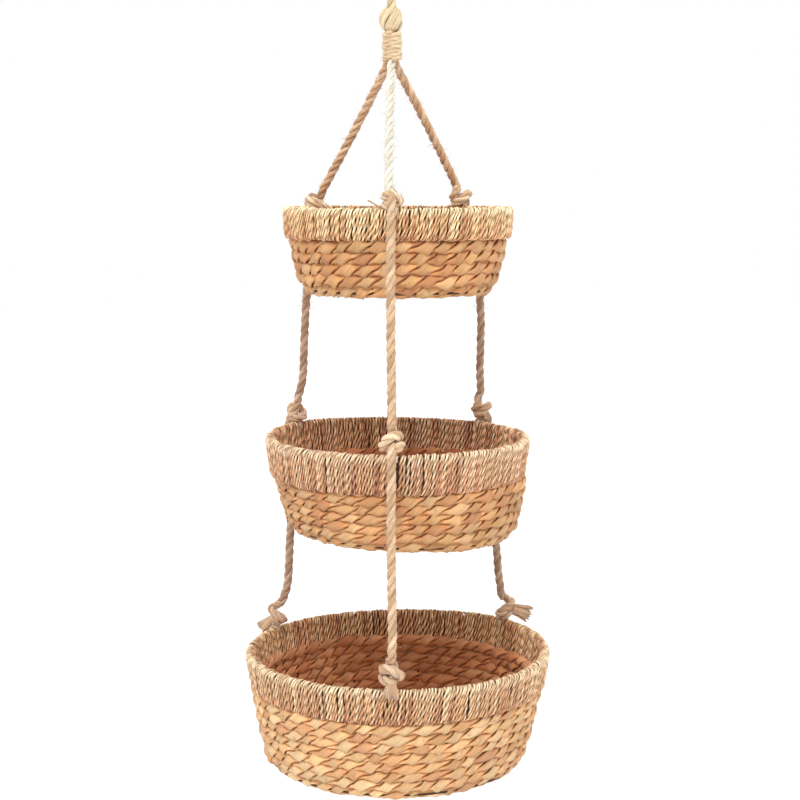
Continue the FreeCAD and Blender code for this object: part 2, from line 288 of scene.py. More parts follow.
def node(tree, kind, sockets=None, **values):
    item = tree.nodes.new(kind)
    for key, value in values.items():
        setattr(item, key, value)
    fill(item, sockets or {})
    return item


def new_material(name):
    material = bpy.data.materials.new(name)
    material.use_nodes = True
    return material, material.node_tree, material.node_tree.nodes["Principled BSDF"]


def fibre_material(name, grain, contrast, bump, roughness, sheen, specks=0.0):
    """Plant fibre: the painted colour, with long streaks that follow each strand and a raised grain."""
    material, tree, shader = new_material(name)
    link = tree.links.new
    gloss = {"Sheen Weight": sheen, "Sheen Roughness": 0.5, "Specular IOR Level": 0.32}
    fill(shader, {"Roughness": roughness, **gloss})
    paint = node(tree, "ShaderNodeAttribute", attribute_name="paint")
    fibre = node(tree, "ShaderNodeAttribute", attribute_name="fibre")
    scale = node(tree, "ShaderNodeVectorMath", {1: grain}, operation="MULTIPLY")
    link(fibre.outputs["Vector"], scale.inputs[0])
    streak = node(tree, "ShaderNodeTexNoise", {"Scale": 1.0, "Detail": 3.0, "Roughness": 0.6})
    link(scale.outputs[0], streak.inputs["Vector"])
    span = {"From Min": 0.28, "From Max": 0.72, "To Min": 1.0 - contrast, "To Max": 1.0 + 0.6 * contrast}
    level = node(tree, "ShaderNodeMapRange", span)
    link(streak.outputs["Fac"], level.inputs["Value"])
    tone = node(tree, "ShaderNodeVectorMath", operation="SCALE")
    link(paint.outputs["Color"], tone.inputs[0])
    link(level.outputs[0], tone.inputs["Scale"])
    colour = tone.outputs[0]
    if specks:
        place = node(tree, "ShaderNodeTexCoord")
        blotch = node(tree, "ShaderNodeTexNoise", {"Scale": 140.0, "Detail": 2.0})
        link(place.outputs["Object"], blotch.inputs["Vector"])
        mask = node(tree, "ShaderNodeMapRange", {"From Min": 0.6, "From Max": 0.72, "To Max": specks})
        link(blotch.outputs["Fac"], mask.inputs["Value"])
        mix = node(tree, "ShaderNodeMix", data_type="RGBA")
        mix.inputs["B"].default_value = (*srgb(150, 92, 52), 1)
        link(mask.outputs[0], mix.inputs["Factor"])
        link(colour, mix.inputs["A"])
        colour = mix.outputs["Result"]
    link(colour, shader.inputs["Base Color"])
    relief = node(tree, "ShaderNodeBump", {"Strength": bump, "Distance": 0.4 * MM})
    link(streak.outputs["Fac"], relief.inputs["Height"])
    link(relief.outputs[0], shader.inputs["Normal"])
    return material


def wire_material():
    """Dark iron wire with a worn, slightly rusty coat."""
    material, tree, shader = new_material("iron_wire")
    link = tree.links.new
    shader.inputs["Metallic"].default_value = 0.85
    place = node(tree, "ShaderNodeTexCoord")
    noise = node(tree, "ShaderNodeTexNoise", {"Scale": 420.0, "Detail": 4.0})
    link(place.outputs["Object"], noise.inputs["Vector"])
    ramp = node(tree, "ShaderNodeValToRGB")
    stops = zip(ramp.color_ramp.elements, (0.42, 0.66), palette((52, 48, 44), (96, 66, 46)))
    for stop, position, colour in stops:
        stop.position = position
        stop.color = (*colour, 1)
    link(noise.outputs["Fac"], ramp.inputs["Fac"])
    link(ramp.outputs["Color"], shader.inputs["Base Color"])
    rough = node(tree, "ShaderNodeMapRange", {"To Min": 0.4, "To Max": 0.7})
    link(noise.outputs["Fac"], rough.inputs["Value"])
    link(rough.outputs[0], shader.inputs["Roughness"])
    relief = node(tree, "ShaderNodeBump", {"Strength": 0.3, "Distance": 0.1 * MM})
    link(noise.outputs["Fac"], relief.inputs["Height"])
    link(relief.outputs[0], shader.inputs["Normal"])
    return material


JUTE = fibre_material("jute_fibre", (110, 850, 850), 0.42, 0.9, 0.88, 0.3)
# Painted highlight: a paler, smoother fibre for the upper front rope, which faces the light from the top
# front.
HIGHLIT_JUTE = fibre_material("bleached_fibre", (150, 1500, 1500), 0.18, 0.55, 0.9, 0.3)
SEAGRASS = fibre_material("seagrass_fibre", (220, 1300, 1300), 0.42, 0.6, 0.7, 0.12)
HYACINTH = fibre_material("hyacinth_fibre", (46, 620, 620), 0.27, 0.6, 0.6, 0.1, specks=0.4)
TWINE = fibre_material("twine_fibre", (200, 2200, 2200), 0.26, 0.55, 0.82, 0.25)
WIRE = wire_material()

JUTE_COLOURS = palette((214, 178, 141), (226, 193, 158), (200, 161, 124))
# Painted shade: the side ropes take the front rope's colours, darker and cooler.
SHADED_SIDE_COLOURS = JUTE_COLOURS * (0.78, 0.77, 0.84)
# Painted light: the upper side ropes take the front rope's colours, a little lighter.
LIT_UPPER_COLOURS = JUTE_COLOURS * (1.06, 1.03, 1.0)
# Painted highlight: the upper front rope's colours.
HIGHLIT_COLOURS = palette((230, 224, 206), (236, 230, 214), (222, 214, 194))
KNOT_COLOURS = palette((228, 197, 160), (236, 209, 174), (213, 176, 137))
LOOP_COLOURS = palette((226, 200, 158), (234, 210, 170), (216, 188, 144))
TWINE_COLOURS = palette((228, 202, 164), (216, 184, 146), (234, 212, 174))
STRAW_COLOURS = palette((222, 184, 138), (212, 168, 124), (236, 208, 166), (200, 152, 114), (192, 138, 102))
LOBE_COLOURS = palette((231, 182, 128), (240, 199, 147), (221, 166, 113), (236, 191, 133), (215, 158, 110))
STRAW_SHARES = (0.34, 0.25, 0.2, 0.15, 0.06)
LOBE_SHARES = (38, 66, 84, 93)  # the places in a hundred where the next of the lobes' colours starts
# Painted shade: the colour of the sheet that shows through the weave's crevices and gaps.
CREVICE_SHADE = srgb(190, 134, 84)
# Painted shade: the colour of the sheet inside the hollow band, where there is only shade.
BAND_SHADE = srgb(104, 68, 44)
BAND_TONE = {"top": (1.28, 1.27, 1.26), "middle": (1.1, 1.01, 1.06), "bottom": (1.12, 1.06, 1.08)}
# Each basket's weave tone; the bottom basket's lighter, paler tone is painted light for the fuller light it
# gets.
TIER_TONE_AND_LIGHT = {"top": (0.82, 0.75, 0.71), "middle": (0.8, 0.74, 0.71), "bottom": (0.9, 0.93, 0.98)}
# The azimuth in degrees of each rim's highest place, and how far it stands up there, in millimetres.
RAISED_RIM = {"top": (0, 0), "middle": (-125, 4.0), "bottom": (125, 5.0)}
# Painted shade for the inner face of the weave, which lies in the shade inside the basket.
INSIDE_SHADE = np.array((0.8, 0.58, 0.5))


# ------------ ropes


def around(phase, normal, side):
    """The direction at an angle round a line, from its normal towards its side."""
    return np.cos(phase)[..., None] * normal + np.sin(phase)[..., None] * side


def ring_points(centre, out, across, rise, spread):
    """A ring of points round each centre, from how far out and how far across each point lies."""
    return centre[:, None] + out[:, None] * rise[..., None] + across[:, None] * spread[..., None]


def strand(mesh, line, angle, radius, offset, paint, seed, sides=16, flat=1.12, yarns=6):
    """One strand of a laid rope, at an angle round the line, with its yarns twisted the other way."""
    rng = np.random.default_rng(seed)
    count = len(line.points)
    out = around(angle, line.normal, line.side)
    across = around(angle + math.pi / 2, line.normal, line.side)
    centre = line.points + out * offset
    turn = full_turn(sides)
    yarn = yarns * turn + TAU * yarns * line.reach[:, None] / (95 * MM)
    swell = 1 + 0.05 * np.cos(yarn) + 0.03 * rng.standard_normal(1)
    size = radius * swell
    points = ring_points(centre, out, across, size * np.cos(turn), flat * size * np.sin(turn))
    shade = 0.8 + 0.2 * clamp(0.55 + 0.75 * np.cos(turn)) + 0.07 * np.cos(yarn)
    shade = shade * (1 + 0.08 * rng.standard_normal((count, sides)))
    slow = 1 + 0.07 * np.sin(line.reach * 160 + rng.uniform(0, TAU))
    slow = slow + 0.04 * np.sin(line.reach * 410 + rng.uniform(0, TAU))
    colour = np.array(paint)[None, None] * (shade * slow[:, None])[..., None]
    own = turn - line.reach[:, None] * 66
    reach = line.reach[:, None] + 0 * turn + seed * 0.37
    fibre = np.stack([reach, radius * np.cos(own), radius * np.sin(own)], -1)
    mesh.tube(points, colour, fibre)


def laid_rope(mesh, line, radius, colours, seed, phase=0.0, lay=LAY, sides=16):
    """Three strands laid together. The twist rises to the right, seen from any side."""
    for k in range(3):
        angle = phase + TAU * k / 3 + TAU * line.reach / lay
        strand(mesh, line, angle, 0.5 * radius, 0.5 * radius, colours[k], seed + k, sides)


def hairs(mesh, starts, outs, paint, seed, count, length=6 * MM, radius=0.15 * MM):
    """Loose fibre ends that stand off a rope."""
    rng = np.random.default_rng(seed)
    for _ in range(count):
        i = rng.integers(len(starts))
        out = unit(0.7 * outs[i] + 0.6 * rng.standard_normal(3))
        bend = unit(np.cross(out, rng.standard_normal(3)))
        reach = length * rng.uniform(0.4, 1.2)
        t = np.linspace(0, 1, 5)[:, None]
        path = starts[i] + out * reach * t + bend * reach * rng.uniform(0.2, 0.7) * t**2
        thread(mesh, path, radius * np.linspace(1, 0.5, 5), paint * rng.uniform(0.8, 1.1), 3)


def thread(mesh, path, radii, paint, sides):
    """A plain thin tube along a path."""
    line = Line(path, hint=(0.31, 0.77, 0.55))
    turn = full_turn(sides)
    out = np.cos(turn)[..., None] * line.normal[:, None] + np.sin(turn)[..., None] * line.side[:, None]
    radii = np.broadcast_to(radii, len(path))
    points = line.points[:, None] + out * radii[:, None, None]
    flat = 0 * turn
    fibre = np.stack([line.reach[:, None] + flat, flat + radii[:, None], flat + 0 * radii[:, None]], -1)
    mesh.tube(points, paint, fibre)


def rope_hairs(mesh, line, radius, paint, seed, count):
    rng = np.random.default_rng(seed + 500)
    angle = rng.uniform(0, TAU, len(line.points))
    outs = around(angle, line.normal, line.side)
    hairs(mesh, line.points + outs * radius * 0.9, outs, paint, seed, count)


# ------------ basket sizes


class Tier:
    """The sizes of one basket, read from its CAD parts."""

    def __init__(self, name):
        self.name, self.body = name, f"{name}_tier"
        low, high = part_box(f"{name}_rim_wrap")
        self.axis = np.array(((low.x + high.x) / 2, (low.y + high.y) / 2, 0.0))
        self.rim = (high.x - low.x) / 2
        self.crest = high.z
        self.band_foot = low.z
        low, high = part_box(f"{name}_woven_wall")
        self.wall = (high.x - low.x) / 2
        self.foot = low.z
        low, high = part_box(f"{name}_base_ring")
        self.base = (high.x - low.x) / 2 + 3 * MM
        skew, sink, self.tilt, lean = SETTLED[name]
        self.skew, self.sink, self.band_lean = skew * MM, sink * MM, lean * MM
        self.tone = np.array(TIER_TONE_AND_LIGHT[name])

    def point(self, azimuth, radius, height):
        """A point at an angle from the front, towards the right, in radians."""
        azimuth, radius, height = np.broadcast_arrays(azimuth, radius, height)
        flat = np.stack([np.sin(azimuth) * radius, -np.cos(azimuth) * radius, height], -1)
        return flat + self.axis

    def woven_point(self, azimuth, radius, height):
        """A point of the weave, whose foot lies a little to one side of its rim and tilts with it."""
        points = self.point(azimuth, np.maximum(radius, 0.2 * MM), height)
        share = clamp((self.crest - height) / (self.crest - self.foot))
        points[..., 2] -= self.tilt * (points[..., 0] - self.axis[0]) * np.interp(share, (0.45, 1), (0, 1))
        points[..., 0] += self.skew * np.interp(share, (0, 0.45, 0.75), (0, 0.8, 1))
        return points

    def raised(self, azimuth):
        """How far the rim stands up at an azimuth, in radians."""
        place, size = RAISED_RIM[self.name]
        away = np.angle(np.exp(1j * (azimuth - math.radians(place))))
        return size * MM * np.exp(-((away / 0.75) ** 2))

    def azimuth(self, point):
        flat = np.array(point)[:2] - self.axis[:2]
        return math.atan2(flat[0], -flat[1])


# ------------ water hyacinth


def ripple(rng, angle, size, orders):
    """A sum of waves round a ring, each with its own size and start."""
    waves = (size * rng.uniform(0.5, 1) * np.sin(k * angle + rng.uniform(0, TAU)) for k in orders)
    return sum(waves) / math.sqrt(len(orders))


def woven_row(mesh, tier, radius, height, lean, pitch, seed, thin=1.0):
    """One round of two-strand twisted hyacinth. lean is the angle of its outer face: 0 for a wall and
    90 degrees for a floor."""
    rng = np.random.default_rng(seed)
    shared = np.random.default_rng(900 + TIERS.index(tier.name))
    length = TAU * radius
    calm = min(1, radius / (60 * MM))
    twists = max(1, round(length / (2 * HALF_TWIST)))
    rings = max(16, int(length / (2.5 * MM)))
    angle = np.linspace(0, TAU, rings, endpoint=False)
    drift = ripple(shared, angle, 0.1 * pitch, (2, 3, 5, 8))
    drift = drift + ripple(rng, angle, 0.09 * pitch, (4, 7, 11, 17))
    bulge = 0.5 * MM * np.cos(12 * angle + math.pi * (seed % 2)) + ripple(rng, angle, 0.5 * MM, (3, 9, 16))
    uneven = 0.9 * min(1, twists / 24)
    flow = twists * angle + rng.uniform(0, TAU) + ripple(rng, angle, uneven, (3, 5, 8, 13, 21))
    across = np.array((math.cos(lean), -math.sin(lean)))  # outward and up parts of the outer face's normal
    along = np.array((math.sin(lean), math.cos(lean)))  # the way up the wall, or outward on the floor
    turn = full_turn(12)
    half = 0.5 * pitch
    slow = 1 + ripple(rng, angle, 0.06, (2, 3, 5))[:, None]
    for k in range(2):
        phase = (flow + math.pi * k)[:, None]
        lobe = np.floor((phase + math.pi / 2) / math.pi).astype(int)[:, 0] % (2 * twists)
        picks = rng.integers(0, 100, 2 * twists)
        plump = rng.normal(0, 0.16, 2 * twists).clip(-0.25, 0.35)[lobe][:, None]
        tall = rng.normal(0.04, 0.12, 2 * twists).clip(-0.16, 0.3)[lobe][:, None]
        tilt = rng.normal(0, 0.10, 2 * twists)[lobe][:, None] * np.cos(phase) ** 2
        phase = phase + 0.02 * np.sin(2 * phase)
        front = np.cos(phase) ** 2
        thick = np.where(np.cos(turn) > 0, 0.68, 0.34) * half * (0.71 + (0.36 + plump) * front)
        radial = (0.34 + 0.08 * front) * half + thick * np.cos(turn)
        sideways = half * np.sin(turn) * (0.74 + (0.4 + tall) * front) + tilt * half
        inward = 0.84 * thin * (radial * np.cos(phase) - sideways * np.sin(phase)) + bulge[:, None] * calm
        upward = radial * np.sin(phase) + sideways * np.cos(phase)
        r = radius + inward * across[0] + (upward + drift[:, None] * calm) * along[0]
        z = height + inward * across[1] + (upward + drift[:, None] * calm) * along[1]
        points = tier.woven_point(angle[:, None], r, z)
        choice = np.searchsorted(LOBE_SHARES, picks, side="right")
        tones = LOBE_COLOURS[choice] * rng.uniform(0.86, 1.1, (2 * twists, 1))
        # Painted shade: darker and redder at each strand's sides and back, and where one row meets the next.
        edge_shade = clamp((np.abs(np.sin(turn)) - 0.6) / 0.4) ** 2 + 0.8 * clamp(-np.cos(turn))
        seam_shade = clamp((np.abs(upward) / half - 0.8) / 0.5)
        # Painted light: a warm glow where a strand turns edge-on at its lobe ends, lifting the painted
        # crevice shade.
        painted_glow = 0.16 * ((1 - front) ** 2)[..., None] * (1.0, 0.6, 0.2)
        dark = 1 - (0.12 * edge_shade + 0.1 * seam_shade)[..., None] * (0.6, 1.0, 1.3) + painted_glow
        # Painted shade: the weave's inner face is darker and redder.
        depth = inward * across[0] if lean < 1 else inward
        inner = clamp(0.5 - depth / half)
        dark = dark * (1 + (INSIDE_SHADE - 1) * clamp(inner * 1.6 - 0.4)[..., None])
        # The lobes' colour with their painted shade and light, times each basket's tone, which holds painted
        # light.
        paint = (tones[lobe] * slow)[:, None] * dark * tier.tone
        own = turn - phase * 0.25
        place = [angle[:, None] * radius + 0 * turn, half * np.cos(own), half * np.sin(own)]
        fibre = np.stack(np.broadcast_arrays(*place), -1) + rng.uniform(0, 3, 3)
        mesh.tube(points, paint, fibre, closed=True)


def shadow_sheet(mesh, tier, profile, paint=CREVICE_SHADE):
    """A thin dark layer between the two faces of the weave or the band. profile is of radii and heights."""
    profile = np.array(profile)
    way = unit(np.gradient(profile, axis=0))
    normal = np.stack([way[:, 1], -way[:, 0]], 1) * 0.3 * MM
    outline = np.vstack([profile + normal, (profile - normal)[::-1]])
    angle = np.linspace(0, TAU, 120, endpoint=False)[:, None]
    points = tier.woven_point(angle, outline[None, :, 0], outline[None, :, 1])
    fibre = np.stack(np.broadcast_arrays(angle * tier.wall, outline[None, :, 0], outline[None, :, 1]), -1)
    mesh.tube(points, paint, fibre, closed=True)


def weave(tier):
    """The wall and the floor of one basket, as rounds of twisted strands."""
    rows = WALL_ROWS[tier.name]
    pitch = (tier.band_foot - tier.foot) / rows
    seed = 100 * (TIERS.index(tier.name) + 1)
    wall = Mesh()
    inset = 0.45 * pitch
    profile = []
    for i in range(-1, rows):
        height = tier.band_foot - (i + 0.5) * pitch
        share = (i + 0.5) / rows
        belly = 1.2 * MM * math.sin(math.pi * min(max(share, 0), 1))
        outer = tier.wall + (tier.base - tier.wall) * share + belly
        outer -= tier.sink * (1 - max(share, 0)) + (3.5 * MM if i < 0 else 0)
        last = i == rows - 1
        lean = math.radians(28) if last else math.atan2(tier.wall - tier.base, tier.band_foot - tier.foot)
        centre = outer - inset - (3.2 * MM if last else 0)
        row_pitch = pitch * (1.0 if last else 1.1)
        woven_row(wall, tier, centre, height + (0.6 * MM if last else 0), lean, row_pitch, seed + i + 1)
        profile.append((centre + (3.0 * MM if last else 0), height))
    inward = ((2.6, 3), (-4, 2), (-14, 4))
    profile += [(centre + x * MM, tier.foot + z * MM) for x, z in inward]
    woven_row(wall, tier, centre - 1.2 * MM, tier.foot + 2.2 * MM, math.radians(50), 5.4 * MM, seed + 30)
    shadow_sheet(wall, tier, profile)
    wall.build(f"{tier.name}_hyacinth_wall", HYACINTH, tier.body, [f"{tier.name}_woven_wall"])
    floor = Mesh()
    radius = tier.base - 1.25 * pitch - inset
    count = max(2, round(radius / (10.2 * MM)))
    step = radius / count
    level = tier.foot + 4.8 * MM
    for i in range(count):
        woven_row(floor, tier, radius - i * step, level, math.pi / 2, step * 1.1, seed + 50 + i)
    shadow_sheet(floor, tier, [(radius + 7 * MM, level), (radius / 2, level), (1 * MM, level)])
    floor.build(f"{tier.name}_hyacinth_floor", HYACINTH, tier.body, [f"{tier.name}_woven_floor"])


# ------------ rim bands


def band_outline(tier, count, tuck=1.6 * MM):
    """The cord's path round the band's two rings, in radius and height, once round, from the foot outside."""
    turn = RING_INSET - tuck
    upper = np.array((tier.rim - RING_INSET, tier.crest - RING_INSET))
    lower = np.array((tier.rim - tier.band_lean, tier.band_foot + RING_INSET))
    lean = math.atan2(upper[0] - lower[0], upper[1] - lower[1])
    angles = np.linspace(0, math.pi, 13)

    def bend(ring, angles):
        return [ring + turn * np.array((math.cos(a - lean), math.sin(a - lean))) for a in angles]

    top, foot = bend(upper, angles), bend(lower, angles + math.pi)
    outline = np.array(foot[6:] + top + foot[:7])
    reach = arc(outline)
    marks = np.linspace(0, reach[-1], count, endpoint=False)
    path = sample(marks, reach, outline)
    closed = np.vstack([path[-1:], path, path[:1]])
    tangent = unit(closed[2:] - closed[:-2])
    normal = np.stack([tangent[:, 1], -tangent[:, 0]], 1)
    return path, normal, reach[-1], marks


def rim_band(tier):
    """A cord wound tightly over the rim, from the top ring to the ring at the band's foot."""
    turns = round(TAU * (tier.rim - 5 * MM) / CORD_PITCH)
    seed = 40 + TIERS.index(tier.name)
    rng = np.random.default_rng(seed)
    _, _, length, _ = band_outline(tier, 64)
    steps = int(length / (1.25 * MM))
    path, normal, length, marks = band_outline(tier, steps)
    turn_angle = full_turn(8)
    total = turns * steps
    spot = np.arange(total)
    part = spot % steps
    wind = spot // steps
    count = turns * 6 + 1  # six places in every turn where the cord strays a little
    places = np.linspace(0, total, count)
    shift = np.interp(spot, places, 0.6 * MM * rng.standard_normal(count))
    lift = np.interp(spot, places, 0.34 * MM * rng.standard_normal(count))
    gap = np.cumsum(np.where(rng.uniform(size=turns) < 0.06, 1.4, 1.0) * rng.uniform(0.88, 1.12, turns))
    gap = np.concatenate([[0], gap])
    slow = np.interp(spot / steps, np.arange(turns + 1), gap / gap[-1] * TAU)
    rise = np.sin(TAU * part / steps)
    sway = (1.0 + 1.2 * np.sin(wind * 0.083 + 1.3) + 0.9 * np.sin(wind * 0.31)) * MM * rise
    crest = clamp((path[part, 1] - tier.crest + 14 * MM) / (14 * MM))
    sway = sway + 2.6 * MM * crest**1.5
    azimuth = slow + (shift + sway) / tier.rim
    r = path[part, 0] + normal[part, 0] * lift
    z = path[part, 1] + normal[part, 1] * lift
    z = z + tier.raised(azimuth) * crest
    out_r, out_z = normal[part, 0], normal[part, 1]
    thick = (1.46 * MM * np.repeat(rng.uniform(0.84, 1.16, turns), steps))[:, None]
    reach = (wind * length + marks[part])[:, None]
    loose = np.interp(spot / steps, np.arange(turns + 1), rng.uniform(-2.4, 2.4, turns + 1))
    twist = TAU * reach / (10.5 * MM) + loose[:, None]
    ply = np.cos(2 * turn_angle - twist)
    swell = thick * (1 + 0.34 * ply)
    lateral = swell * np.sin(turn_angle) * 1.16
    outward = swell * np.cos(turn_angle)
    radius = r[:, None] + out_r[:, None] * outward
    height = z[:, None] + out_z[:, None] * outward
    points = tier.point(azimuth[:, None] + lateral / tier.rim, radius, height)
    colour = band_colours(rng, turns, part, wind, out_r, path)
    shade = (0.34 + 0.66 * clamp(0.2 + 0.95 * np.cos(turn_angle))) * (0.76 + 0.48 * ply)
    shade = shade * (1 + 0.08 * rng.standard_normal(shade.shape))
    # Painted shade: the cord's shading is deeper on the band's inner face.
    deep = (1 + 0.4 * clamp(-out_r * 1.2))[:, None, None]
    paint = colour[:, None] * shade[..., None] ** (deep * (0.88, 1.0, 1.24)) * np.array(BAND_TONE[tier.name])
    own = turn_angle - twist * 0.5
    fibre = np.stack([reach + 0 * turn_angle, thick * np.cos(own), thick * np.sin(own)], -1)
    fibre = fibre + np.repeat(rng.uniform(0, 1, (turns, 3)), steps, 0)[:, None] * 0.5
    pieces = 2 if tier.name == "top" else 3
    bounds = [round(turns * k / pieces) * steps for k in range(pieces + 1)]
    for k in range(pieces):
        mesh = Mesh()
        keep = slice(bounds[k], min(bounds[k + 1] + 1, total))
        mesh.tube(points[keep], paint[keep], fibre[keep])
        if k == 0:
            # A sheet of painted shade between the band's outer and inner faces.
            upper, lower = tier.rim - RING_INSET, tier.rim - tier.band_lean
            shade_profile = [(upper, tier.crest - 3 * MM), (lower, tier.band_foot + 3 * MM)]
            shadow_sheet(mesh, tier, np.linspace(*shade_profile, 8), BAND_SHADE)
        name = f"{tier.name}_rim_cord_{k + 1}"
        mesh.build(name, SEAGRASS, tier.body, [f"{tier.name}_rim_wrap"])


def band_colours(rng, turns, part, wind, out_r, path):
    """A straw tone for every turn, with a painted highlight over the crest's outer side, a warm tint painted
    for the shade on the inner face, and browner at the foot.
    """
    picks = rng.choice(len(STRAW_COLOURS), turns, p=STRAW_SHARES)
    tones = STRAW_COLOURS[picks] * rng.uniform(0.88, 1.12, (turns, 1))
    colour = tones[wind]
    height = path[part, 1]
    share = (height - height.min()) / (height.max() - height.min())
    crest = clamp((share - 0.72) / 0.28)
    # Painted highlight: the crest is paler where it faces outward and up, towards the light.
    pale = srgb(252, 238, 200)
    inner = clamp(-out_r * 1.2) * (1 - 0.3 * crest)
    crest_highlight = crest * clamp(0.55 + 1.4 * out_r)
    colour = colour + (pale - colour) * (0.6 * crest_highlight)[:, None]
    # Painted shade: a slight warm tint on the band's inner face.
    colour = colour * (1 - inner[:, None] * np.array((-0.04, -0.02, 0.03)))
    foot = clamp(1 - share / 0.5)
    colour = colour * (1 - np.array((0.06, 0.18, 0.22)) * foot[:, None])
    return colour


# ------------ knots and spans

# The two stretches that an arch and a sweep share.
OVER = ((-6.6, 4.5, 3.6), (-1, 7.6, 4.8), (5.4, 5.4, 1.6), (7.8, 0, -1.6), (4.5, -5.5, -4), (-2.5, -6.4, -5))
UNDER = ((-4.2, 5.2, -6.0), (1.5, 4.0, -7.2), (2, 0, -8))
# Points of each kind of knot in millimetres: to the right, outward from the basket, and up.
KNOT_SHAPES = {
    "arch": (
        (-3.5, -1, 9), (1, -5, 5.5), (-2, -7.4, 2), (-7.4, -2.5, 1.6), *OVER, (-7.0, -0.8, -5.4), *UNDER,
    ),
    "sweep": (
        (-4.9, -1, 10), (-3.5, -5, 6), (-4, -7, 2.5), (-7.6, -2.5, 1.6), *OVER, (-6, -0.8, -5.4), *UNDER,
    ),
    "flat": (
        (9, 0, 13), (6.5, -2, 7), (1, -6, 3.4), (-6, -4.5, 2.4), (-8.4, 1, 1.6), (-4.5, 6.5, 1.4),
        (1.5, 7.2, -0.4), (6.5, 3, -2.6), (4, -4, -3.6), (-3, -5.5, -3.2), (-7.5, -0.5, -3.4),
        (-3, 5.5, -4), (4, 6.4, -4.6), (9.5, 3.5, -5.6), (13, 1, -7),
    ),
    "fork": (
        (-4, 0, 13), (-5, 3.5, 7), (-8.2, 3, 2.4), (-6.5, -3, -1), (0, -5.5, -1.6), (6.5, -3, 0.6),
        (9.2, 2, 4), (5.6, 6.4, 3.2), (0.5, 7.6, -1.2), (-4.6, 4.6, -4.6), (-4.4, -2, -6),
        (1.5, -4, -6.6), (3.8, 1.5, -8), (0.6, 3.4, -10),
    ),
    "wrap": (
        (2.5, 3.5, 15), (1.6, 3.4, 9), (-0.5, 3, 3), (-4.4, 2.4, -3), (-8, 0, -2.5), (-8.6, -2.6, 3),
        (-4.6, -5.5, 6), (1, -6, 2.5), (5.5, -4, -2.4), (7.6, 0.6, -5.6), (4, 4.6, -7), (-2, 4, -7.6),
        (-4.4, 0, -8.6), (-1, -3, -10), (1, 0, -14),
    ),
    "fold": (
        (4.5, 0, 15), (1.5, -2.4, 11.2), (-2.6, -5, 8.6), (-7.2, -3.6, 5.6), (-8.6, 1.5, 2.6),
        (4.4, 5.4, -5.4), (6.4, 0.5, -8.6), (3, -4.5, -8), (-3, -5, -4.5), (-5.8, -1, -3.2),
        (-4.5, 3.5, -6), (-1, 4.6, -9.6), (1.5, 2, -14),
    ),
}


def local_frame(azimuth, turn=0.0, mirror=1):
    """Right, outward and up at an azimuth of a basket, turned about the vertical."""
    a = azimuth + turn
    right = np.array((math.cos(a), math.sin(a), 0.0)) * mirror
    outward = np.array((math.sin(a), -math.cos(a), 0.0))
    return right, outward, UP


def facing(azimuth, rope):
    """How far a knot turns about the vertical, so that a side knot looks to the front."""
    return 0.0 if rope == "front" else SIDE_TURN * azimuth


def placed(points, centre, axes):
    """Points in millimetres along three axes, as points in the shared frame."""
    points = np.array(points, float) * MM
    return centre + points[:, :1] * axes[0] + points[:, 1:2] * axes[1] + points[:, 2:] * axes[2]


def knot_axes(tier, rope):
    """Right, outward and up for a knot, with its own turn and tilt."""
    _, mirror, _, tilt, _ = KNOTS[tier.name, rope]
    azimuth, _ = knot_point(tier, rope)
    right, outward, up = local_frame(azimuth, facing(azimuth, rope), mirror)
    lean = math.radians(tilt) * mirror
    return right * math.cos(lean) + up * math.sin(lean), outward, up * math.cos(lean) - right * math.sin(lean)


def knot_path(tier, rope):
    """The points that a knot's rope passes through. It starts where the rope from above comes in."""
    shape, _, scale, _, _ = KNOTS[tier.name, rope]
    _, centre = knot_point(tier, rope)
    return placed(np.array(KNOT_SHAPES[shape]) * scale, centre, knot_axes(tier, rope))


def knot_turns(mesh, tier, rope, colours, seed):
    scale = KNOTS[tier.name, rope][2]
    line = Line(smooth_path(knot_path(tier, rope), 1.2 * MM), hint=knot_axes(tier, rope)[1])
    laid_rope(mesh, line, 4.8 * MM * scale**0.5, colours, seed, lay=32 * MM)
    rope_hairs(mesh, line, 4 * MM, colours[1], seed, 70)


def hitch(mesh, tier, azimuth, seed):
    """The turn of rope over the rim under a knot. Its ends go in between the cords of the band."""
    share = np.linspace(0, 1, 36)
    angle = (-0.06 + 0.92 * share) * math.pi
    reach = (3.2 + 5.0 * clamp(2.2 * np.sin(math.pi * share))) * MM
    drift = 2.0 * MM * np.cos(angle / 2 + 0.3) / tier.rim
    radius = tier.rim - RING_INSET + reach * np.cos(angle)
    points = tier.point(azimuth + drift, radius, tier.crest - 6 * MM + reach * np.sin(angle))
    laid_rope(mesh, Line(points, hint=(0, 0, 1)), 3.2 * MM, KNOT_COLOURS * 0.86, seed, lay=22 * MM, sides=12)


def neck_points(tier, azimuth, lip):
    """The rope's way out of a knot, over the lip, to the point where it bends."""
    base = tier.rim + LIP_OUTSET
    r = np.array((-13, -7, -2.2, 0.0)) * MM + base
    z = np.array((11.5, 14.5, 11, 5.2)) * MM + lip[2]
    return [tier.point(azimuth, a, b) for a, b in zip(r, z)]


def joint_point(name):
    return np.array(JOINTS[name]["pos_m"])


def lip_of(lower, rope):
    """The point where a rope bends over the rim above it."""
    name = f"{lower}_sway_front_back" if rope == "front" else f"{lower}_{rope}_front_back"
    return joint_point(name)


def knot_point(tier, rope):
    """The azimuth and the centre of a knot. A top knot's place comes from its CAD solid, the others'
    from their ropes."""
    shift = KNOTS[tier.name, rope][4]
    if tier.name == "top":
        _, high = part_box(f"top_knot_{rope}")
        azimuth = tier.azimuth(lip_of("middle", rope))
        centre = tier.point(azimuth, tier.rim - KNOT_INSET, high.z - KNOT_RADIUS)
    else:
        foot = foot_of(tier.name, rope)
        azimuth = tier.azimuth(foot)
        centre = foot - FOOT_RISE * UP
    return azimuth, centre + np.array((shift[0], 0, shift[1])) * MM


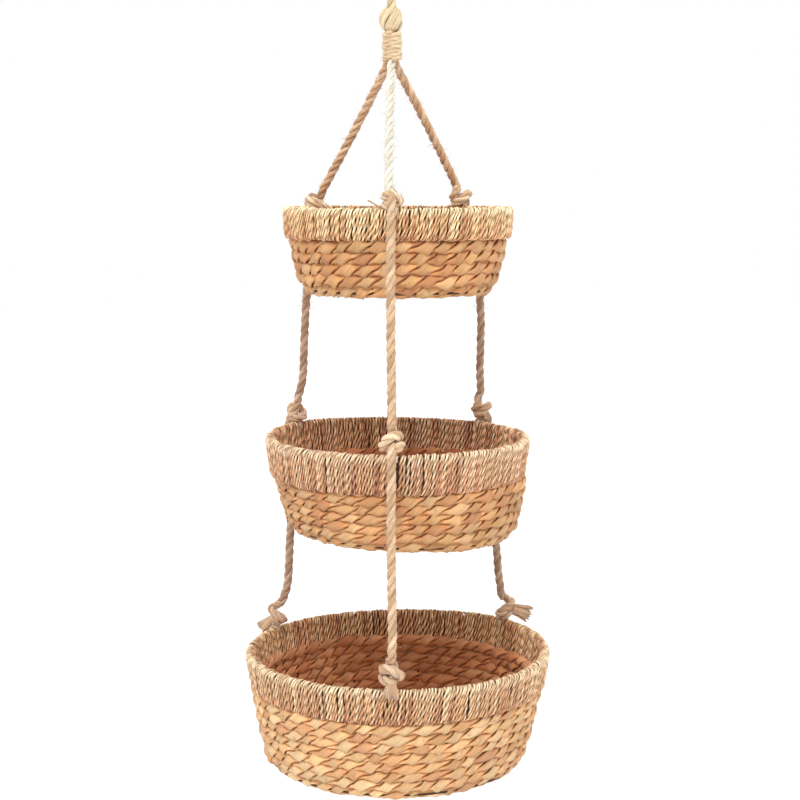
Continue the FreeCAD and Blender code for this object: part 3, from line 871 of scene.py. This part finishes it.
def foot_of(name, rope):
    """The point where a rope from above meets its knot."""
    front = joint_point(f"{name}_level_side")
    if rope == "front":
        return front
    low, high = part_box(f"{name}_rope_{rope}")
    lip = lip_of(name, rope)
    far_x = low.x + ROPE_RADIUS if rope == "left" else high.x - ROPE_RADIUS
    return np.array((far_x, low.y + high.y - lip[1], front[2]))


def hang(upper, lower, rope, seed):
    """One rope from a knot on the basket above, over its lip, down to the knot on the basket below."""
    lip = lip_of(lower.name, rope)
    foot = foot_of(lower.name, rope)
    azimuth = upper.azimuth(lip)
    down = unit(foot - lip)
    bows = BOWS[lower.name, rope]
    way = [lip + down * d * MM for d in (0, 6)]
    length = np.linalg.norm(foot - lip)
    for s in (0.12, 0.3, 0.45, 0.6, 0.75, 0.88, 0.97):
        bow = np.interp(s, (0, *BOW_PLACES), (0, *bows))
        way.append(lip + down * length * s + np.array((bow * MM, 0, 0)))
    entry = knot_path(lower, rope)
    way += ([foot] if rope == "front" else []) + [entry[0], 0.5 * (entry[0] + entry[1])]
    line = Line(smooth_path(neck_points(upper, azimuth, lip) + way, PATH_STEP), hint=(1, 0, 0))
    at_lip, at_foot = line.nearest(lip), line.nearest(foot)
    end = line.reach[-1]
    own = f"{lower.name}_{rope}"
    cuts = [("neck", 0, at_lip), ("lip", at_lip, at_lip + 12 * MM)]
    if rope == "front":
        cuts += [("span", at_lip + 12 * MM, at_foot - 1.5 * MM)]
        cuts += [("foot", at_foot - 3 * MM, at_foot + 3 * MM), ("entry", at_foot + 1.5 * MM, end)]
    else:
        cuts += [("span", at_lip + 12 * MM, end)]
    bodies = {
        "neck": (upper.body, f"{own}_bend", at_lip - 9 * MM, at_lip - MM),
        "lip": (f"{own}_bend", f"{own}_rope", at_lip + MM, at_lip + 11 * MM),
    }
    riders = {"span": f"{own}_rope", "foot": f"{own}_foot", "entry": lower.body}
    parts = {"span": "rope", "lip": "lip_bend", "foot": "foot_bend"}
    stands_for = {kind: [f"{lower.name}_{part}_{rope}"] for kind, part in parts.items()}
    for kind, start, stop in cuts:
        part = line.cut(start, stop)
        mesh = Mesh()
        # The side ropes take colours painted darker for their shade.
        colours = JUTE_COLOURS if rope == "front" else SHADED_SIDE_COLOURS
        laid_rope(mesh, part, ROPE_RADIUS, colours, seed, phase=seed * 0.7)
        rope_hairs(mesh, part, ROPE_RADIUS, colours[1], seed + len(kind), 150 if kind == "span" else 10)
        name = f"{lower.name}_{rope}_rope_{kind}"
        item = mesh.build(name, JUTE, riders.get(kind), stands_for.get(kind, ()))
        if kind in bodies:
            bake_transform(item)


def knots_and_hitches(tier):
    """The three knots of one basket, and the turns round the rim that hold it."""
    turns = Mesh()
    for number, rope in enumerate(ROPES):
        azimuth, centre = knot_point(tier, rope)
        seed = 300 + 30 * TIERS.index(tier.name) + 5 * number
        mesh = Mesh()
        plain = tier.name == "top" or (tier.name, rope) == ("middle", "front")
        knot_turns(mesh, tier, rope, KNOT_COLOURS if plain else KNOT_COLOURS * (0.86, 0.8, 0.8), seed)
        if (tier.name, rope) == ("top", "front"):
            bits = [(-10, 2, -8), (-15, 3, -7), (-19, 3, -4.6), (-25.5, 3, -1)]
            stray = placed(bits, centre, local_frame(0.0))
            thread(mesh, smooth_path(stray, 1.5 * MM), 0.8 * MM, KNOT_COLOURS[2] * 0.7, 6)
        name = f"{tier.name}_{rope}_knot_turns"
        mesh.build(name, JUTE, tier.body, [f"{tier.name}_knot_{rope}"])
        hitch(turns, tier, azimuth + 1.5 * MM / tier.rim, seed + 3)
    turns.build(f"{tier.name}_rim_hitches", JUTE, tier.body, [f"{tier.name}_hitches"])


def tail(tier, rope, seed):
    """The frayed rope end that stands out of a bottom knot: short strands that open into a brush."""
    azimuth, centre = knot_point(tier, rope)
    way, wide, deep = TAILS[rope]
    rng = np.random.default_rng(seed)
    axes = local_frame(azimuth, facing(azimuth, rope))
    line = Line(smooth_path(np.vstack([centre, placed(way, centre, axes)]), 1.2 * MM), hint=(0.2, 0.3, 1))
    mesh = Mesh()
    laid_rope(mesh, line.cut(0, 12 * MM), 4.4 * MM, KNOT_COLOURS, seed, lay=30 * MM)
    tangent = unit(line.points[-1] - line.points[0])
    right = unit(np.cross(tangent, axes[1]))
    over = np.cross(right, tangent)
    root = 6.0 if rope == "right" else 3.8
    for _ in range(230):
        angle = rng.uniform(0, TAU)
        share = math.sqrt(rng.uniform(0, 1))
        t = np.linspace(0.3, rng.uniform(0.76, 1.0), 9)
        spine = sample(t * line.reach[-1], line.reach, line.points)
        fan = clamp((t - 0.3) / 0.7)[:, None] ** 1.2
        breadth = right * math.cos(angle) * share * (root + (wide - root) * fan) * MM
        depth = over * math.sin(angle) * share * (root + (deep - root) * fan) * MM
        bend = unit(rng.standard_normal(3)) * rng.uniform(0, 1.3) * MM * fan**2
        tone = KNOT_COLOURS[rng.integers(3)] * (0.92, 0.84, 0.82) * rng.uniform(0.62, 1.14)
        thread(mesh, spine + breadth + depth + bend, np.linspace(0.85, 0.55, 9) * MM, tone, 5)
    mesh.build(f"{rope}_tail_brush", JUTE, "bottom_tier", [f"tail_{rope}"])


# ------------ hanger and crown


def hanger():
    """The loop for a hook: one rope, bent over, whose two legs go down into the crown knot."""
    low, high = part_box("hanging_loop")
    radius = (high.y - low.y) / 2 - ROPE_RADIUS
    top = high.z - ROPE_RADIUS - radius
    pivot = joint_point("swing_front_back")
    angles = np.linspace(-0.42, math.pi + 0.42, 24)
    arc = [(0, radius * math.cos(a), top + radius * math.sin(a)) for a in angles]
    leg = 4.9 * MM
    right = [(0, leg, pivot[2] + d * MM) for d in (5, 12, 22, 34)]
    points = right + arc + [(x, -y, z) for x, y, z in right[::-1]]
    line = Line(smooth_path(points, PATH_STEP), hint=(1, 0, 0))
    mesh = Mesh()
    laid_rope(mesh, line, ROPE_RADIUS, LOOP_COLOURS, 11)
    rope_hairs(mesh, line, ROPE_RADIUS, KNOT_COLOURS[1], 12, 40)
    mesh.build("hook_loop_rope", JUTE, "hanger", ["hanging_loop"])


def crown():
    """A bulb of strands that spread from the loop's legs and cross again under them."""
    low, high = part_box("crown_knot")
    middle = (low.z + high.z) / 2
    mesh = Mesh()
    t = np.linspace(0, 1, 30)
    axis = Line(np.stack([0 * t, 0 * t, middle + (13.5 - 27 * t) * MM], 1), hint=(0, -1, 0))
    wide = 5.4 + 4.7 * np.sin(math.pi * clamp(t * 1.05)) ** 0.8
    for k in range(9):
        angle = TAU * k / 9 + (1.5 + 0.25 * math.cos(2.1 * k)) * t + 0.2 * math.sin(2.3 * k)
        crown_strand(mesh, axis, angle, wide, k)
    hold = np.stack([0 * t, 0 * t, middle + 13 * MM - 26 * MM * t], 1)
    thread(mesh, hold, 9.0 * MM * np.sin(math.pi * np.clip(t, 0.12, 0.88)) ** 0.8, srgb(204, 168, 124), 14)
    mesh.build("crown_knot_strands", JUTE, "crown", ["crown_knot"])


def crown_strand(mesh, axis, angle, wide, number):
    """One strand of the crown's bulb, winding down its outside."""
    out = around(angle, axis.normal, axis.side)
    across = around(angle + math.pi / 2, axis.normal, axis.side)
    lift = 0.7 * math.sin(1.7 * number)
    centre = axis.points + out * ((wide + lift) * MM)[:, None]
    turn = full_turn(14)
    size = 2.9 * MM * (1 + 0.05 * np.cos(6 * turn + 60 * axis.reach[:, None]))
    ends = np.clip(np.sin(math.pi * np.linspace(0, 1, len(wide))) * 3, 0.5, 1)[:, None]
    points = ring_points(centre, out, across, ends * size * np.cos(turn), 1.5 * ends * size * np.sin(turn))
    shade = 0.66 + 0.34 * clamp(0.5 + 0.8 * np.cos(turn))
    paint = (LOOP_COLOURS[1] * (1.04 - 0.06 * (number % 3)))[None, None] * (shade + 0 * size)[..., None]
    fibre = np.stack([axis.reach[:, None] + 0 * turn + number, size * np.cos(turn), size * np.sin(turn)], -1)
    mesh.tube(points, paint, fibre)


def whipping():
    """Slanting turns of twine that bind the ropes together, over the bundle that they hold."""
    low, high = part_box("whipping")
    mesh = Mesh()
    turns = 7
    height = high.z - low.z
    angle = np.linspace(0, TAU * turns, 60 * turns)
    tilt = 2.0 * MM * np.sin(angle - 0.2)
    radius = 8.4 * MM + 0.45 * MM * np.sin(angle * 0.31) + 0.35 * MM * np.sin(angle * 1.7)
    z = low.z + 2.4 * MM + (height - 4.8 * MM) * angle / angle[-1] + tilt
    line = Line(np.stack([radius * np.sin(angle) + 0.8 * MM, -radius * np.cos(angle), z], 1), hint=(0, 0, 1))
    for k in range(3):
        phase = TAU * k / 3 + TAU * line.reach / (26 * MM)
        strand(mesh, line, phase, 1.55 * MM, 1.3 * MM, TWINE_COLOURS[k], 90 + k, 10, flat=1.3)
    rope_hairs(mesh, line, 2.4 * MM, TWINE_COLOURS[0], 95, 40)
    mesh.build("whipping_twine_turns", TWINE, "top_tier", ["whipping"])
    bundle = Mesh()
    low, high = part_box("rope_bundle")
    t = np.linspace(0, 1, 24)
    core = Line(np.stack([0 * t, 0 * t, high.z + (low.z - high.z) * t], 1), hint=(0, -1, 0))
    laid_rope(bundle, core, 7.4 * MM, JUTE_COLOURS, 60, lay=90 * MM)
    bundle.build("rope_bundle_strands", JUTE, "top_tier", ["rope_bundle"])


def upper_rope(tier, rope, number):
    """A rope from under the whipping to its knot on the top basket."""
    low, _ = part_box("whipping")
    azimuth = {"front": 0.0, "left": -2.1, "right": 2.1}[rope]
    out = 3.6 * MM
    start = np.array((out * math.sin(azimuth), -out * math.cos(azimuth), low.z))
    entry = knot_path(tier, rope)
    aim = entry[0]
    way = unit(aim - start)
    points = [start + 9 * MM * UP, start + 3 * MM * UP, start + way * 8 * MM]
    length = np.linalg.norm(aim - start)
    sag = {"front": -0.6, "left": 1.2, "right": 1.2}[rope] * MM
    for s in (0.3, 0.5, 0.7, 0.88):
        points.append(start + way * length * s + np.array((sag * math.sin(math.pi * s), 0, 0)))
    points += [aim, 0.5 * (aim + entry[1])]
    line = Line(smooth_path(points, PATH_STEP), hint=(1, 0, 0))
    # The front rope is painted paler: a painted highlight where it faces the light.
    pale = rope == "front"
    colours = HIGHLIT_COLOURS if pale else LIT_UPPER_COLOURS
    mesh = Mesh()
    laid_rope(mesh, line, (4.9 if pale else 5.0) * MM, colours, 20 + number, phase=number * 1.1)
    rope_hairs(mesh, line, ROPE_RADIUS, colours[0], 25 + number, 130)
    material, slot = (HIGHLIT_JUTE, "pale_jute_rope") if pale else (JUTE, "jute_rope")
    mesh.build(f"upper_{rope}_rope_strands", material, "top_tier", [f"upper_rope_{rope}"])


# ------------ the scene


def camera():
    data = bpy.data.cameras.new("camera")
    data.lens = 76.05
    data.sensor_width = 36
    data.clip_end = 50
    item = add_object("camera", data)
    item.location = (0.0095, -1.901, -0.270)
    item.rotation_euler = (math.radians(90 - 7.24), 0, 0)
    bpy.context.scene.camera = item


def studio():
    """A white room: an even sky, a soft key from above, and a pale floor."""
    world = bpy.data.worlds.new("studio")
    bpy.context.scene.world = world
    world.use_nodes = True
    fill(world.node_tree.nodes["Background"], {"Color": (1, 1, 1, 1), "Strength": 1.0})
    sun = bpy.data.lights.new("key", "SUN")
    sun.energy = 1.5
    sun.angle = math.radians(24)
    key = add_object("key", sun)
    key.rotation_euler = (math.radians(42), 0, math.radians(-4))
    data = bpy.data.meshes.new("floor")
    half, level = 12.0, CAD_BOX[0].z - 0.36
    corners = [(-half, -half, level), (half, -half, level), (half, half, level), (-half, half, level)]
    data.from_pydata(corners, [], [(0, 1, 2, 3)])
    floor = add_object("floor", data)
    material, _, shader = new_material("floor")
    fill(shader, {"Base Color": (0.92, 0.92, 0.92, 1), "Roughness": 0.9})
    data.materials.append(material)
    bpy.context.scene.view_settings.view_transform = "Standard"


def wires(tiers):
    """The CAD rings, in worn iron. The foot rings and the stakes follow the settled weave."""
    for name, item in list(frame["nodes"].items()):
        if name.endswith(("_ring", "_stakes")):
            for place in item.material_slots:
                place.material = WIRE
        if name.endswith(("_base_ring", "_stakes")):
            settled_wire(name, item, tiers[name.split("_")[0]])


def settled_wire(name, item, tier):
    """A copy of a wire that follows the weave round it."""
    data = item.data.copy()
    points = np.array([item.matrix_world @ corner.co for corner in data.vertices]) - tier.axis
    azimuth = np.arctan2(points[:, 0], -points[:, 1])
    moved = tier.woven_point(azimuth, np.hypot(points[:, 0], points[:, 1]), points[:, 2])
    data.vertices.foreach_set("co", moved.astype(np.float32).ravel())
    data.update()
    data.materials.clear()
    data.materials.append(WIRE)
    wire = add_object(f"{name}_wire", data)
    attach(wire, f"{tier.name}_tier")
    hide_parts(name)


camera()
studio()
hanger()
crown()
whipping()
tiers = {name: Tier(name) for name in TIERS}
wires(tiers)
for number, rope in enumerate(ROPES):
    upper_rope(tiers["top"], rope, number)
for name in TIERS:
    weave(tiers[name])
    rim_band(tiers[name])
    knots_and_hitches(tiers[name])
for level, (above, below) in enumerate((("top", "middle"), ("middle", "bottom"))):
    for number, rope in enumerate(ROPES):
        hang(tiers[above], tiers[below], rope, 200 + 20 * level + 5 * number)
for number, rope in enumerate(ROPES):
    tail(tiers["bottom"], rope, 400 + 10 * number)
